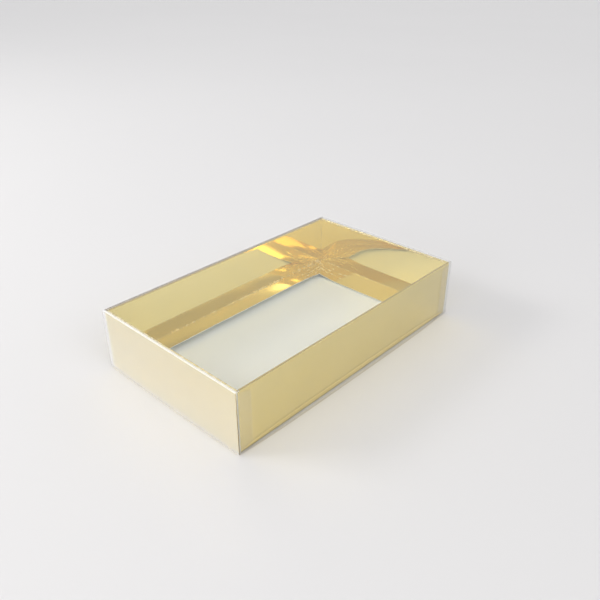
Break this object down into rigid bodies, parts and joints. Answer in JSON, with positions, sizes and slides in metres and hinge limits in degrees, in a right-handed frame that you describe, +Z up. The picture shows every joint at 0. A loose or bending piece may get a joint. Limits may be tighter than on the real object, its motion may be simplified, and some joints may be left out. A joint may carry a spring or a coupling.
{
  "type": "acetate box",
  "caption": "Shallow rectangular gift box: a tray folded from gold metallised card, under a full-depth lift-off lid folded from clear film",
  "frame": {"origin": "on the table, at the middle of the box's footprint", "axes": "+Z up, +X along the box, +Y towards the back long wall; the picture looks from the front left, along +X and +Y and down"},
  "size_m": [0.204, 0.1244, 0.0412],
  "materials": {
    "gold_card": "mirror-bright gold metallised foil laminated on white card",
    "white_card": "uncoated white reverse of the card, satin",
    "clear_film": "clear glossy plastic film"
  },
  "bodies": {
    "tray": {"tray_floor": "white_card", "front_left_corner_tab": "white_card", "front_right_corner_tab": "white_card", "back_left_corner_tab": "white_card", "back_right_corner_tab": "white_card", "front_outer_wall": "gold_card", "front_rim": "gold_card", "front_inner_wall": "gold_card", "back_outer_wall": "gold_card", "back_rim": "gold_card", "back_inner_wall": "gold_card", "left_outer_wall": "gold_card", "left_rim": "gold_card", "left_inner_wall": "gold_card", "right_outer_wall": "gold_card", "right_rim": "gold_card", "right_inner_wall": "gold_card"},
    "lid": {"lid_top": "clear_film", "lid_front_skirt": "clear_film", "lid_back_skirt": "clear_film", "lid_left_skirt": "clear_film", "lid_right_skirt": "clear_film", "lid_front_left_tab": "clear_film", "lid_front_right_tab": "clear_film", "lid_back_left_tab": "clear_film", "lid_back_right_tab": "clear_film"},
    "front_flange": {"front_flange": "gold_card"},
    "back_flange": {"back_flange": "gold_card"},
    "left_flange": {"left_flange": "gold_card"},
    "right_flange": {"right_flange": "gold_card"}
  },
  "joints": [
    {"name": "lid_lift", "type": "slide", "parent": "tray", "child": "lid", "axis": [0, 0, 1], "range_m": [0, 0.06]},
    {"name": "front_flange_fold", "type": "hinge", "parent": "tray", "child": "front_flange", "pos_m": [0, -0.0575, 0.0045], "axis": [1, 0, 0], "range_deg": [-10, 80], "stiffness_Nm_per_rad": 0.005},
    {"name": "back_flange_fold", "type": "hinge", "parent": "tray", "child": "back_flange", "pos_m": [0, 0.0575, 0.0045], "axis": [-1, 0, 0], "range_deg": [-10, 80], "stiffness_Nm_per_rad": 0.005},
    {"name": "left_flange_fold", "type": "hinge", "parent": "tray", "child": "left_flange", "pos_m": [-0.09805, 0, 0.0042], "axis": [0, -1, 0], "range_deg": [-1, 90], "stiffness_Nm_per_rad": 0.005},
    {"name": "right_flange_fold", "type": "hinge", "parent": "tray", "child": "right_flange", "pos_m": [0.09805, 0, 0.0042], "axis": [0, 1, 0], "range_deg": [-1, 90], "stiffness_Nm_per_rad": 0.005}
  ]
}
